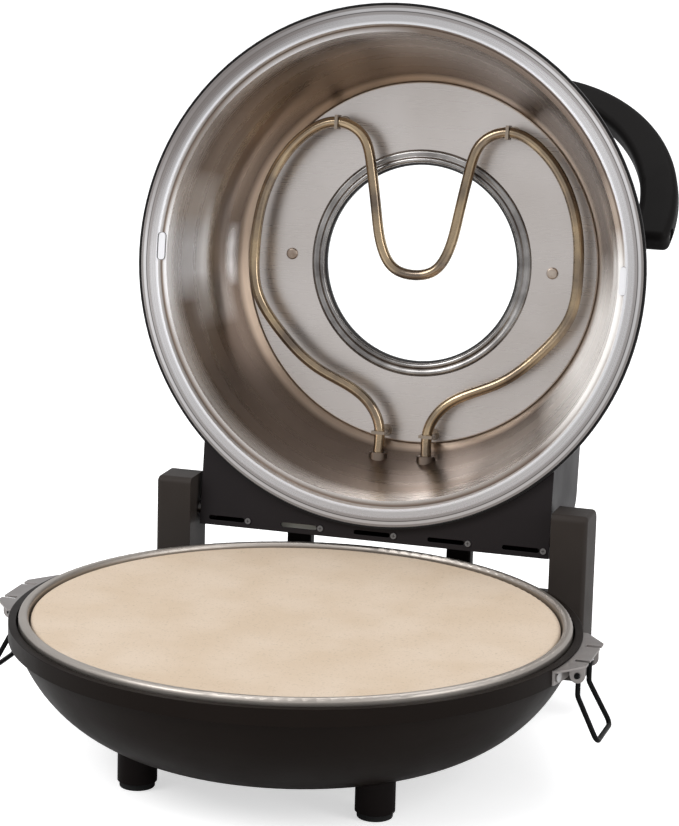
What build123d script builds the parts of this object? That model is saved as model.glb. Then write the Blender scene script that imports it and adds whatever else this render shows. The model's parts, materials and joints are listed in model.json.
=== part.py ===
from build123d import *
import math
import os

os.makedirs("parts", exist_ok=True)

# An electric pizza maker with its lid standing open. Millimetres, +Z up, front toward -Y.
# The origin is on the floor, under the middle of the bounding box.

# ---- Driving sizes -------------------------------------------------------------------------
stone_radius = 155.0
stone_thickness = 12.0
stone_gap = 1.2  # between the stone's edge and the tray's wall

bowl_radius = 168.0  # outside of the skirt
bowl_top = 88.0
bowl_wall = 1.8
skirt_bottom = 78.0
bowl_shoulder = 163.5  # the wall's radius just under the skirt
bowl_belly, bowl_belly_height = 143.0, 44.0
bowl_floor, bowl_floor_radius = 18.5, 96.0
rim_flange = 4.6  # width of the bowl's turned-in rim
ledge_top = 81.5  # the tray's rolled edge stands on this ledge

tray_sheet = 0.8
tray_rim_top = 92.0
tray_rim_radius = 162.0
tray_floor = 54.0
tray_well_radius = 141.0
stone_seat = 77.5  # height of the tray's ledge under the stone
stone_seat_inner = 145.0

cover_radius = 87.0
foot_radius = 11.5
foot_pad_height = 4.0
foot_circle = 101.0

hinge_back = 164.0  # hinge axis, behind the bowl's middle
hinge_height = 105.0
lid_seat = 93.5  # rim plane of the closed lid
lid_open = 97.0  # degrees
pin_radius = 3.5
pin_clearance = 0.3
pillar_inner, pillar_outer = 118.0, 141.0
pillar_front, pillar_rear = 145.0, 175.0
pillar_bottom, pillar_top = 20.0, 128.0

deck_bottom, deck_top = 29.0, 69.0
deck_front, deck_back = 100.0, 186.0
deck_wall = 2.5

lid_radius = 165.0
lid_sheet = 1.2
hem_height = 3.6
dome_foot_radius = 160.5
dome_head_radius = 124.8
dome_top = 94.0
liner_sheet = 0.8
flange_inner = 152.0
step_radius, step_rise = 150.4, 2.4
liner_foot_radius = 147.2
liner_belly, liner_belly_height = 136.5, 44.0
liner_head_radius = 117.5
plate_height = 83.0  # visible face of the reflector plate above the rim plane
plate_sheet = 1.0
window_radius = 65.5
glass_radius = 74.0
glass_thickness = 4.0
bezel_radius = 84.0

tube_radius = 3.5
tube_fit = 0.1  # between a heater tube and its clips and bushes
heater_height = 66.0  # upper heater above the rim plane
heater_end = 16.0  # half the distance between a heater's two ends
lower_heater_height = 65.0
lower_heater_radius = 98.0

panel_front = 4.0  # the vent panel's face above the rim plane
panel_sheet = 1.5
housing_half = 115.0
housing_back = 173.5  # the housing's hinge-side wall, behind the lid's middle
housing_wall = 2.0
slot_count, slot_pitch, slot_length, slot_width = 5, 48.5, 24.0, 3.0
slot_back = 168.8
panel_screw_reach = 2.6  # from the end of a slot to its screw

handle_tilt = 41.7  # degrees between the rim plane and the handle's plane
handle_foot_front, handle_foot_height = 22.0, 42.0
handle_radius, handle_half_straight, handle_centre = 110.0, 60.0, 25.0
handle_bar, handle_thick, handle_edge = 14.0, 16.0, 4.5
handle_inner_half_straight = 50.0  # so the arms are wider than the middle of the arch
handle_cut = 4.0

wire_radius = 1.5
bail_pivot_reach, bail_pivot_height = 173.0, 79.0
bail_half, bail_half_low = 15.0, 18.0
bail_straight = 13.0
bail_reach, bail_bottom = 186.0, 41.0
bail_bend = 4.0
bail_clearance = 0.3
ear_sheet = 1.5
bracket_sheet = 1.2
bracket_half, bracket_reach = 40.0, 179.0
bracket_end_half = 23.0
bracket_top, bracket_bottom = 87.0, 78.5

# ---- Placing -------------------------------------------------------------------------------
open_sin, open_cos = math.sin(math.radians(lid_open)), math.cos(math.radians(lid_open))
tilt_sin, tilt_cos = math.sin(math.radians(handle_tilt)), math.cos(math.radians(handle_tilt))

# The open lid's middle, measured from the bowl's middle on the floor.
lid_drop = hinge_height - lid_seat
lid_middle_back = hinge_back - open_cos * hinge_back - open_sin * lid_drop
lid_middle_height = hinge_height + open_sin * hinge_back - open_cos * lid_drop

# The handle's rounded front edge reaches farthest back, and the bowl's skirt farthest forward.
handle_slope = -math.cos(math.radians(handle_tilt + lid_open))
handle_lean = math.sin(math.radians(handle_tilt + lid_open))
handle_back = (
    lid_middle_back
    - open_cos * handle_foot_front
    + open_sin * handle_foot_height
    + handle_slope * (handle_centre + handle_radius - handle_edge)
    + handle_lean * (handle_thick / 2 - handle_edge)
    + handle_edge
)
bowl_y = (bowl_radius - handle_back) / 2

# Sketch x of a side plane runs to the rear and sketch y upward, away from the rim plane for the
# lid. A section plane's sketch x is a radius. The lid's planes hold its closed directions.
bowl = Plane((0, bowl_y, 0))
bowl_axis = Axis((0, bowl_y, 0), (0, 0, 1))
bowl_section = Plane((0, bowl_y, 0), x_dir=(1, 0, 0), z_dir=(0, -1, 0))
bowl_side = Plane((0, bowl_y, 0), x_dir=(0, 1, 0), z_dir=(1, 0, 0))
lid = Plane(
    (0, bowl_y + lid_middle_back, lid_middle_height), x_dir=(1, 0, 0), z_dir=(0, open_sin, open_cos)
)
lid_axis = Axis(lid.origin, lid.z_dir)
lid_section = Plane(lid.origin, x_dir=lid.x_dir, z_dir=-lid.y_dir)
lid_side = Plane(lid.origin, x_dir=lid.y_dir, z_dir=(1, 0, 0))
handle_up = lid.z_dir * tilt_sin - lid.y_dir * tilt_cos
handle_plane = Plane(
    lid.from_local_coords((0, -handle_foot_front, handle_foot_height)),
    x_dir=lid.x_dir,
    z_dir=lid.x_dir.cross(handle_up),
)


def disc(plane, radius, height, hole=0.0):
    """A round plate, or with a hole a flat ring, standing on each of the planes."""
    planes = plane if isinstance(plane, list) else [plane]
    for base in planes:
        with BuildSketch(base, mode=Mode.PRIVATE) as outline:
            Circle(radius)
            if hole:
                Circle(hole, mode=Mode.SUBTRACT)
        extrude(outline.sketch, amount=height)


def bore(plane, radius, depth):
    """A round hole sunk from each of the planes along its normal."""
    planes = plane if isinstance(plane, list) else [plane]
    for base in planes:
        with BuildSketch(base, mode=Mode.PRIVATE) as outline:
            Circle(radius)
        extrude(outline.sketch, amount=depth, mode=Mode.SUBTRACT)


def bent(points, radii):
    """Straight runs through the points, each corner turned on an arc of its radius."""
    corners = [Vector(*point) for point in points]
    start = corners[0]
    for before, corner, after, radius in zip(corners, corners[1:], corners[2:], radii):
        back, ahead = (before - corner).normalized(), (after - corner).normalized()
        half = math.radians(back.get_angle(ahead)) / 2
        reach = radius / math.tan(half)
        middle = corner + (back + ahead).normalized() * (radius / math.sin(half) - radius)
        near, far = corner + back * reach, corner + ahead * reach
        Line(tuple(start), tuple(near))
        ThreePointArc(tuple(near), tuple(middle), tuple(far))
        start = far
    Line(tuple(start), tuple(corners[-1]))


def at(plane, x, y, z=0.0):
    """The plane moved to a point given in its own directions."""
    return Plane(plane.from_local_coords((x, y, z)), x_dir=plane.x_dir, z_dir=plane.z_dir)


# ---- Bowl ----------------------------------------------------------------------------------
with BuildPart() as bowl_form:
    with BuildSketch(bowl_section):
        with BuildLine():
            Polyline(
                (bowl_floor_radius, bowl_floor),
                (0, bowl_floor),
                (0, bowl_top),
                (bowl_radius, bowl_top),
                (bowl_radius, skirt_bottom),
                (bowl_shoulder, skirt_bottom),
            )
            ThreePointArc(
                (bowl_shoulder, skirt_bottom),
                (bowl_belly, bowl_belly_height),
                (bowl_floor_radius, bowl_floor),
            )
        make_face()
    revolve(axis=bowl_axis)

rivet_height = 82.5
rivet_shank = 1.6
rivet_planes = [
    Plane(
        bowl.from_local_coords(
            (bowl_radius * math.cos(angle), bowl_radius * math.sin(angle), rivet_height)
        ),
        z_dir=(math.cos(angle), math.sin(angle), 0),
    )
    for angle in (math.radians(degrees) for degrees in (-12, 12, 168, 192))
]
rim_inner = bowl_radius - rim_flange
ledge_inner = tray_rim_radius - 3.5
cover_sheet = 1.4
cover_screw_circle = cover_radius - 3
cover_screws = [
    at(
        bowl.offset(bowl_floor),
        cover_screw_circle * math.cos(angle),
        cover_screw_circle * math.sin(angle),
    )
    for angle in (math.radians(degrees) for degrees in (0, 90, 180, 270))
]
passage_width, passage_height = 60.0, 18.0
with BuildPart() as base_bowl:
    add(bowl_form.part)
    offset(amount=-bowl_wall, openings=base_bowl.faces().sort_by(Axis.Z)[-1])
    # The turned-in rim, and the ledge under the tray's rolled edge.
    disc(bowl.offset(bowl_top - bowl_wall), bowl_radius - bowl_wall / 2, bowl_wall, rim_inner)
    disc(bowl.offset(ledge_top - bowl_wall), bowl_radius - bowl_wall / 2, bowl_wall, ledge_inner)
    bore(bowl.offset(bowl_floor - 1), cover_radius - 7, bowl_wall + 2)
    bore([plane.offset(-1) for plane in cover_screws], rivet_shank, bowl_wall + 2)
    bore([plane.offset(-3) for plane in rivet_planes], rivet_shank + tube_fit, 4)
    # Passage of the lower heater's ends into the rear housing.
    with BuildSketch(
        Plane((0, bowl_y + deck_front, lower_heater_height), x_dir=(1, 0, 0), z_dir=(0, 1, 0))
    ):
        RectangleRounded(passage_width, passage_height, 4)
    extrude(amount=deck_back - deck_front, mode=Mode.SUBTRACT)
base_bowl.part.label = "base_bowl"
export_step(base_bowl.part, "parts/base_bowl.step")

with BuildPart() as bottom_cover:
    disc(bowl.offset(bowl_floor - cover_sheet), cover_radius, cover_sheet)
    with BuildSketch(bowl.offset(bowl_floor - cover_sheet)):
        with PolarLocations(46, 12):
            SlotOverall(30, 4)
    extrude(amount=cover_sheet, mode=Mode.SUBTRACT)
    bore([plane.offset(-cover_sheet) for plane in cover_screws], rivet_shank, cover_sheet)
bottom_cover.part.label = "bottom_cover"
export_step(bottom_cover.part, "parts/bottom_cover.step")

with BuildPart() as bottom_cover_screws:
    disc([plane.offset(-cover_sheet - 1.2) for plane in cover_screws], 3.2, 1.2)
    disc([plane.offset(-cover_sheet) for plane in cover_screws], rivet_shank - tube_fit, 6)
bottom_cover_screws.part.label = "bottom_cover_screws"
export_step(bottom_cover_screws.part, "parts/bottom_cover_screws.step")

foot_places = [
    at(bowl, foot_circle * math.cos(angle), foot_circle * math.sin(angle))
    for angle in (math.radians(degrees) for degrees in (45, 135, 225, 315))
]
with BuildPart() as base_feet:
    disc([place.offset(foot_pad_height) for place in foot_places], foot_radius, skirt_bottom / 2)
    add(bowl_form.part, mode=Mode.SUBTRACT)
    bore([place.offset(foot_pad_height) for place in foot_places], 4.2, 6)
base_feet.part.label = "base_feet"
export_step(base_feet.part, "parts/base_feet.step")

with BuildPart() as foot_pads:
    disc(foot_places, foot_radius - 1.2, foot_pad_height)
    disc([place.offset(foot_pad_height) for place in foot_places], 4, 5)
    fillet(foot_pads.faces().filter_by(Axis.Z).sort_by(Axis.Z)[:4].edges(), 1)
foot_pads.part.label = "foot_pads"
export_step(foot_pads.part, "parts/foot_pads.step")

# ---- Tray, stone and lower heater ----------------------------------------------------------
tray_wall = stone_radius + stone_gap
lower_bush = 6.0
lower_bush_front = 132.0
lower_ends = [
    Plane(bowl.from_local_coords((x, 0, lower_heater_height)), z_dir=(0, 1, 0))
    for x in (-heater_end, heater_end)
]
with BuildPart() as base_liner:
    with BuildSketch(bowl_section):
        with BuildLine():
            FilletPolyline(
                (tray_rim_radius, ledge_top),
                (tray_rim_radius, tray_rim_top),
                (tray_wall, tray_rim_top),
                (tray_wall, stone_seat),
                (stone_seat_inner, stone_seat),
                (tray_well_radius, tray_floor),
                (0, tray_floor),
                radius=(2.2, 2.2, 0, 2, 3),
            )
            FilletPolyline(
                (tray_rim_radius, ledge_top),
                (tray_rim_radius - tray_sheet, ledge_top),
                (tray_rim_radius - tray_sheet, tray_rim_top - tray_sheet),
                (tray_wall + tray_sheet, tray_rim_top - tray_sheet),
                (tray_wall + tray_sheet, stone_seat - tray_sheet),
                (stone_seat_inner + tray_sheet, stone_seat - tray_sheet),
                (tray_well_radius + tray_sheet, tray_floor - tray_sheet),
                (0, tray_floor - tray_sheet),
                radius=(0, 1.4, 1.4, 0, 1.2, 3.8),
            )
            Line((0, tray_floor), (0, tray_floor - tray_sheet))
        make_face()
    revolve(axis=bowl_axis)
    bore([plane.offset(lower_bush_front) for plane in lower_ends], lower_bush, 16)
base_liner.part.label = "base_liner"
export_step(base_liner.part, "parts/base_liner.step")

with BuildPart() as pizza_stone:
    disc(bowl.offset(stone_seat), stone_radius, stone_thickness)
    fillet(pizza_stone.edges().group_by(Axis.Z)[-1], 2)
    fillet(pizza_stone.edges().group_by(Axis.Z)[0], 1)
pizza_stone.part.label = "pizza_stone"
export_step(pizza_stone.part, "parts/pizza_stone.step")

lower_corner = 60.0
lower_tail = 153.0  # the ends reach into the rear housing, short of its ceiling
lower_side = lower_heater_radius
with BuildLine(bowl) as lower_path:
    bent(
        [
            (x, y, lower_heater_height)
            for x, y in (
                (heater_end, lower_tail),
                (heater_end, lower_side),
                (lower_side, lower_side),
                (lower_side, -lower_side),
                (-lower_side, -lower_side),
                (-lower_side, lower_side),
                (-heater_end, lower_side),
                (-heater_end, lower_tail),
            )
        ],
        (14, lower_corner, lower_corner, lower_corner, lower_corner, 14),
    )


def tube(path, radius):
    """A round bar swept along the path."""
    wire = path.wires()[0]
    with BuildSketch(Plane(origin=wire @ 0, z_dir=wire % 0), mode=Mode.PRIVATE) as section:
        Circle(radius)
    sweep(section.sketch, path=wire)


with BuildPart() as lower_heater:
    tube(lower_path, tube_radius)
lower_heater.part.label = "lower_heater"
export_step(lower_heater.part, "parts/lower_heater.step")

with BuildPart() as lower_heater_room:
    tube(lower_path, tube_radius + tube_fit)

clip_sheet, clip_width = 2.0, 10.0
with BuildPart() as lower_heater_supports:
    for degrees in (-90, 0, 180):
        spoke = Vector(math.cos(math.radians(degrees)), math.sin(math.radians(degrees)), 0)
        radial = Plane(bowl.origin, x_dir=spoke, z_dir=spoke.cross(Vector(0, 0, 1)))
        with BuildSketch(radial):
            with Locations((lower_heater_radius, (tray_floor + lower_heater_height + 5) / 2)):
                Rectangle(clip_width, lower_heater_height + 5 - tray_floor)
        extrude(amount=clip_sheet / 2, both=True)
        with BuildSketch(radial):
            with Locations((lower_heater_radius, tray_floor + 0.6)):
                Rectangle(clip_width, 1.2)
        extrude(amount=7, both=True)
    add(lower_heater_room.part, mode=Mode.SUBTRACT)
lower_heater_supports.part.label = "lower_heater_supports"
export_step(lower_heater_supports.part, "parts/lower_heater_supports.step")

with BuildPart() as lower_heater_bushes:
    disc([plane.offset(lower_bush_front) for plane in lower_ends], lower_bush - tube_fit, 16)
    disc([plane.offset(lower_bush_front + 14) for plane in lower_ends], lower_bush + 1.5, 2)
    bore([plane.offset(lower_bush_front) for plane in lower_ends], tube_radius + tube_fit, 16)
lower_heater_bushes.part.label = "lower_heater_bushes"
export_step(lower_heater_bushes.part, "parts/lower_heater_bushes.step")

tray_under = tray_floor - tray_sheet
with BuildPart() as thermostat:
    disc(at(bowl.offset(tray_under), 0, 34).offset(-9), 12, 9)
    with BuildSketch(at(bowl.offset(tray_under), 0, 34).offset(-1)):
        SlotOverall(40, 8)
    extrude(amount=1)
    with BuildSketch(at(bowl.offset(tray_under), 0, 34).offset(-15)):
        with Locations((-5, 0), (5, 0)):
            Rectangle(1, 5)
    extrude(amount=7)
thermostat.part.label = "thermostat"
export_step(thermostat.part, "parts/thermostat.step")

with BuildPart() as thermal_fuse:
    with BuildSketch(at(bowl.offset(tray_under), 36, 8).offset(-1)):
        Rectangle(9, 14)
    extrude(amount=1)
    disc(Plane(bowl.from_local_coords((29, 8, tray_under - 3)), z_dir=(1, 0, 0)), 2.6, 14)
thermal_fuse.part.label = "thermal_fuse"
export_step(thermal_fuse.part, "parts/thermal_fuse.step")

# ---- Rear housing, pillars and hinge -------------------------------------------------------
deck_middle = (deck_bottom + deck_top) / 2
deck_rear = Plane(
    bowl.from_local_coords((0, deck_back, deck_middle)), x_dir=(1, 0, 0), z_dir=(0, -1, 0)
)
room_width = 2 * (pillar_inner - deck_wall)
room_height = deck_top - deck_bottom - 2 * deck_wall
boss_side = 9.0
cover_fit = 0.3
with BuildPart() as rear_housing:
    with BuildSketch(deck_rear):
        Rectangle(2 * pillar_inner, deck_top - deck_bottom)
        Rectangle(room_width, room_height, mode=Mode.SUBTRACT)
        with GridLocations(room_width - boss_side, room_height - boss_side, 2, 2):
            Rectangle(boss_side, boss_side)
    extrude(amount=deck_back - deck_front)
    with BuildSketch(deck_rear):
        Rectangle(room_width, room_height)
    extrude(amount=cover_sheet + 0.6, mode=Mode.SUBTRACT)
    with BuildSketch(deck_rear.offset(36)):
        Rectangle(room_width, room_height)
    extrude(amount=60, mode=Mode.SUBTRACT)
    add(bowl_form.part, mode=Mode.SUBTRACT)
    with BuildSketch(deck_rear):
        with GridLocations(room_width - boss_side, room_height - boss_side, 2, 2):
            Circle(rivet_shank)
    extrude(amount=16, mode=Mode.SUBTRACT)
    fillet(rear_housing.edges().filter_by(Axis.X).group_by(Axis.Y)[-1].group_by(Axis.Z)[-1], 1.5)
rear_housing.part.label = "rear_housing"
export_step(rear_housing.part, "parts/rear_housing.step")

gland_x, gland_radius = 78.0, 6.0
with BuildPart() as rear_cover:
    with BuildSketch(deck_rear.offset(0.6)):
        Rectangle(room_width - 2 * cover_fit, room_height - 2 * cover_fit)
        with GridLocations(room_width - boss_side, room_height - boss_side, 2, 2):
            Circle(rivet_shank, mode=Mode.SUBTRACT)
        with Locations((-24, 0)):
            with GridLocations(10, 1, 11, 1):
                SlotOverall(20, 4, rotation=90, mode=Mode.SUBTRACT)
        with Locations((gland_x, 0)):
            Circle(gland_radius + tube_fit, mode=Mode.SUBTRACT)
    extrude(amount=cover_sheet)
rear_cover.part.label = "rear_cover"
export_step(rear_cover.part, "parts/rear_cover.step")

with BuildPart() as rear_cover_screws:
    with BuildSketch(deck_rear.offset(-0.4)):
        with GridLocations(room_width - boss_side, room_height - boss_side, 2, 2):
            Circle(3)
    extrude(amount=1)
    with BuildSketch(deck_rear.offset(0.6)):
        with GridLocations(room_width - boss_side, room_height - boss_side, 2, 2):
            Circle(rivet_shank - tube_fit)
    extrude(amount=12)
rear_cover_screws.part.label = "rear_cover_screws"
export_step(rear_cover_screws.part, "parts/rear_cover_screws.step")

gland = at(deck_rear, gland_x, 0)
with BuildPart() as cord_inlet:
    disc(gland.offset(-8), gland_radius, 22)
    with BuildSketch(gland.offset(-3)):
        RegularPolygon(10, 6)
    extrude(amount=3.6)
    with BuildSketch(gland.offset(cover_sheet + 0.6)):
        RegularPolygon(9, 6)
    extrude(amount=4)
    bore(gland.offset(-8), 3.4, 22)
cord_inlet.part.label = "cord_inlet"
export_step(cord_inlet.part, "parts/cord_inlet.step")

with BuildPart() as terminal_block:
    with BuildSketch(at(bowl.offset(deck_bottom + deck_wall), 30, 164)):
        Rectangle(46, 16)
    extrude(amount=15)
    with BuildSketch(at(bowl.offset(deck_bottom + deck_wall + 15), 30, 164)):
        with GridLocations(15, 9, 3, 2):
            Circle(2)
    extrude(amount=-9, mode=Mode.SUBTRACT)
terminal_block.part.label = "terminal_block"
export_step(terminal_block.part, "parts/terminal_block.step")

pin_inner, pin_outer = 107.0, 138.0
with BuildPart() as right_pillar:
    with BuildSketch(bowl_side.offset(pillar_inner)):
        with BuildLine():
            FilletPolyline(
                (hinge_back, pillar_top),
                (pillar_front, pillar_top),
                (pillar_front, pillar_bottom),
                (pillar_rear, pillar_bottom),
                (pillar_rear, pillar_top),
                (hinge_back + 1, pillar_top),
                radius=(4, 10, 3, 7),
            )
            Line((hinge_back + 1, pillar_top), (hinge_back, pillar_top))
        make_face()
    extrude(amount=pillar_outer - pillar_inner)
    fillet(right_pillar.faces().sort_by(Axis.X)[-1].edges(), 2.5)
    bore(
        at(bowl_side, hinge_back, hinge_height, pillar_inner),
        pin_radius + tube_fit,
        pin_outer - pillar_inner,
    )
right_pillar.part.label = "right_pillar"
export_step(right_pillar.part, "parts/right_pillar.step")

with BuildPart() as left_pillar:
    mirror(right_pillar.part, about=Plane.YZ)
left_pillar.part.label = "left_pillar"
export_step(left_pillar.part, "parts/left_pillar.step")

with BuildPart() as hinge_pins:
    disc(at(bowl_side, hinge_back, hinge_height, pin_inner), pin_radius, pin_outer - pin_inner)
    disc(at(bowl_side, hinge_back, hinge_height, -pin_outer), pin_radius, pin_outer - pin_inner)
hinge_pins.part.label = "hinge_pins"
export_step(hinge_pins.part, "parts/hinge_pins.step")

post_half_gap, post_width, post_front, post_rear = 45.0, 16.0, 171.0, 181.0
stop_gap = 0.3  # between the posts and the open lid's housing
with BuildPart() as stop_posts:
    with BuildSketch(at(bowl.offset(deck_top), 0, (post_front + post_rear) / 2)):
        with GridLocations(2 * post_half_gap + post_width, 0, 2, 1):
            RectangleRounded(post_width, post_rear - post_front, 2)
    extrude(amount=hinge_height - deck_top)
    split(bisect_by=Plane(lid.from_local_coords((0, housing_back + stop_gap, 0)), z_dir=lid.y_dir))
stop_posts.part.label = "stop_posts"
export_step(stop_posts.part, "parts/stop_posts.step")

# ---- Side brackets and bails ---------------------------------------------------------------
ear_inner = bail_half + wire_radius + 0.7
ear_radius = 4.4
stub_end = ear_inner + ear_sheet + 1.8
bail_slot_inner = bail_half - wire_radius - 0.5
bail_slot_start = bail_pivot_reach - wire_radius - 1
with BuildPart() as right_side_bracket:
    with BuildSketch(bowl.offset(bracket_bottom)):
        Circle(bowl_radius + bracket_sheet)
        Circle(bowl_radius, mode=Mode.SUBTRACT)
        with Locations((bowl_radius, 0)):
            Rectangle(bowl_radius, 2 * bracket_half, mode=Mode.INTERSECT)
    extrude(amount=bracket_top - bracket_bottom)
    with BuildSketch(bowl.offset(bracket_top - bracket_sheet)):
        Polygon(
            (bowl_radius - 10, -bracket_half),
            (bowl_radius - 2, -bracket_half),
            (bracket_reach, -bracket_end_half),
            (bracket_reach, bracket_end_half),
            (bowl_radius - 2, bracket_half),
            (bowl_radius - 10, bracket_half),
            align=None,
        )
        Circle(bowl_radius, mode=Mode.SUBTRACT)
        # Slots through which the bail's legs swing up.
        with Locations((bail_slot_start + bail_reach, 0)):
            with GridLocations(0, bail_slot_inner + ear_inner, 1, 2):
                Rectangle(2 * bail_reach, ear_inner - bail_slot_inner, mode=Mode.SUBTRACT)
    extrude(amount=bracket_sheet)
    for y in (-ear_inner - ear_sheet, ear_inner):
        with BuildSketch(Plane((0, bowl_y + y, 0), x_dir=(1, 0, 0), z_dir=(0, -1, 0))):
            with Locations((bail_pivot_reach, bail_pivot_height)):
                Circle(ear_radius)
            with Locations((bail_pivot_reach, (bail_pivot_height + bracket_top) / 2)):
                Rectangle(2 * ear_radius, bracket_top - bail_pivot_height)
            with Locations((bail_pivot_reach, bail_pivot_height)):
                Circle(wire_radius + bail_clearance, mode=Mode.SUBTRACT)
        extrude(amount=-ear_sheet)
    bore([plane.offset(-1) for plane in rivet_planes[:2]], rivet_shank + tube_fit, 4)
right_side_bracket.part.label = "right_side_bracket"
export_step(right_side_bracket.part, "parts/right_side_bracket.step")

with BuildPart() as left_side_bracket:
    mirror(right_side_bracket.part, about=Plane.YZ)
left_side_bracket.part.label = "left_side_bracket"
export_step(left_side_bracket.part, "parts/left_side_bracket.step")

with BuildPart() as bracket_rivets:
    disc([plane.offset(bracket_sheet) for plane in rivet_planes], 3, 1)
    disc(
        [plane.offset(-bowl_wall - 0.6) for plane in rivet_planes],
        rivet_shank,
        bowl_wall + bracket_sheet + 0.6,
    )
bracket_rivets.part.label = "bracket_rivets"
export_step(bracket_rivets.part, "parts/bracket_rivets.step")

bail_knee = bail_pivot_height - bail_straight
with BuildLine(bowl) as bail_path:
    bent(
        [
            (bail_pivot_reach, -stub_end, bail_pivot_height),
            (bail_pivot_reach, -bail_half, bail_pivot_height),
            (bail_pivot_reach, -bail_half, bail_knee),
            (bail_reach, -bail_half_low, bail_bottom),
            (bail_reach, bail_half_low, bail_bottom),
            (bail_pivot_reach, bail_half, bail_knee),
            (bail_pivot_reach, bail_half, bail_pivot_height),
            (bail_pivot_reach, stub_end, bail_pivot_height),
        ],
        (2, 6, bail_bend, bail_bend, 6, 2),
    )
with BuildPart() as right_bail:
    tube(bail_path, wire_radius)
right_bail.part.label = "right_bail"
export_step(right_bail.part, "parts/right_bail.step")

with BuildPart() as left_bail:
    mirror(right_bail.part, about=Plane.YZ)
left_bail.part.label = "left_bail"
export_step(left_bail.part, "parts/left_bail.step")

# ---- Dome of the lid -----------------------------------------------------------------------
with BuildPart() as dome_form:
    with BuildSketch(lid_section):
        with BuildLine():
            Line((0, 0), (lid_radius, 0))
            FilletPolyline(
                (lid_radius, 0),
                (lid_radius, hem_height),
                (dome_foot_radius, hem_height),
                (dome_head_radius, dome_top),
                (0, dome_top),
                radius=(1.6, 0, 12),
            )
            Line((0, dome_top), (0, 0))
        make_face()
    revolve(axis=lid_axis)

bezel_neck = glass_radius + 0.4
bezel_neck_outer = bezel_neck + 3
upper_bush = 6.0
upper_ends = [
    Plane(lid.from_local_coords((x, 124, heater_height)), z_dir=lid.y_dir)
    for x in (-heater_end, heater_end)
]
bezel_screws_at = [
    at(lid, 80.8 * math.cos(angle), 80.8 * math.sin(angle))
    for angle in (math.radians(degrees) for degrees in (45, 135, 225, 315))
]
catch_half = 8.0
slot_ahead = 3.0  # the rim band's slots sit this far ahead of the lid's middle
with BuildPart() as lid_shell:
    add(dome_form.part)
    offset(amount=-lid_sheet, openings=lid_shell.faces().sort_by(lid_axis)[0])
    bore(lid.offset(dome_top - 2), bezel_neck_outer + 0.3, 4)
    bore([plane.offset(dome_top - 2) for plane in bezel_screws_at], rivet_shank, 4)
    bore(upper_ends, upper_bush, 24)
    # Windows behind the catches.
    with BuildSketch(lid_side):
        with Locations((-slot_ahead, 24)):
            RectangleRounded(2 * catch_half, 10, 2)
    extrude(amount=lid_radius, both=True, mode=Mode.SUBTRACT)
lid_shell.part.label = "lid_shell"
export_step(lid_shell.part, "parts/lid_shell.step")

belly = (liner_belly, liner_belly_height)
belly_outer = (liner_belly + liner_sheet, liner_belly_height + 0.2)
head, head_outer = plate_height + plate_sheet, plate_height + plate_sheet + liner_sheet
flange_outer = lid_radius - lid_sheet - 0.4
liner_flange_inner = 80.0
with BuildPart() as lid_liner:
    with BuildSketch(lid_section):
        with BuildLine():
            Polyline(
                (flange_outer, 0),
                (flange_inner, 0),
                (step_radius, step_rise),
                (liner_foot_radius, step_rise),
            )
            ThreePointArc((liner_foot_radius, step_rise), belly, (liner_head_radius, head))
            Polyline(
                (liner_head_radius, head),
                (liner_flange_inner, head),
                (liner_flange_inner, head_outer),
                (liner_head_radius + liner_sheet, head_outer),
            )
            ThreePointArc(
                (liner_head_radius + liner_sheet, head_outer),
                belly_outer,
                (liner_foot_radius + liner_sheet, step_rise + liner_sheet),
            )
            Polyline(
                (liner_foot_radius + liner_sheet, step_rise + liner_sheet),
                (step_radius + 0.5, step_rise + liner_sheet),
                (flange_inner + 0.5, liner_sheet),
                (flange_outer, liner_sheet),
                (flange_outer, 0),
            )
        make_face()
    revolve(axis=lid_axis)
    bore(upper_ends, upper_bush, 24)
    with BuildSketch(at(lid, 0, -slot_ahead, -1)):
        with GridLocations(2 * step_radius, 0, 2, 1):
            RectangleRounded(5, 18, 2.4)
    extrude(amount=step_rise + 3, mode=Mode.SUBTRACT)
    bore([at(lid, x, 0, head - 1) for x in (-88, 88)], 1.9, 3)
lid_liner.part.label = "lid_liner"
export_step(lid_liner.part, "parts/lid_liner.step")

with BuildPart() as reflector_plate:
    disc(lid.offset(plate_height), liner_head_radius - 0.6, plate_sheet, window_radius)
    bore([at(lid, x, 0, plate_height - 1) for x in (-88, 88)], 1.9, 3)
reflector_plate.part.label = "reflector_plate"
export_step(reflector_plate.part, "parts/reflector_plate.step")

with BuildPart() as liner_rivets:
    disc([at(lid, x, 0, plate_height - 1.6) for x in (-88, 88)], 3.8, 1.6)
    fillet(liner_rivets.edges().group_by(lid_axis)[0], 1.1)
    disc([at(lid, x, 0, plate_height) for x in (-88, 88)], 1.8, head_outer - plate_height)
    disc([at(lid, x, 0, head_outer) for x in (-88, 88)], 3, 0.8)
liner_rivets.part.label = "liner_rivets"
export_step(liner_rivets.part, "parts/liner_rivets.step")

glass_bottom = head + 2
glass_top = glass_bottom + glass_thickness
with BuildPart() as window_inner_ring:
    disc(lid.offset(head), bezel_neck_outer, 2, window_radius - 1.5)
window_inner_ring.part.label = "window_inner_ring"
export_step(window_inner_ring.part, "parts/window_inner_ring.step")

with BuildPart() as window_glass:
    disc(lid.offset(glass_bottom), glass_radius, glass_thickness)
window_glass.part.label = "window_glass"
export_step(window_glass.part, "parts/window_glass.step")

with BuildPart() as window_gasket:
    disc(lid.offset(glass_top), glass_radius, dome_top - glass_top, 69)
window_gasket.part.label = "window_gasket"
export_step(window_gasket.part, "parts/window_gasket.step")

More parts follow.
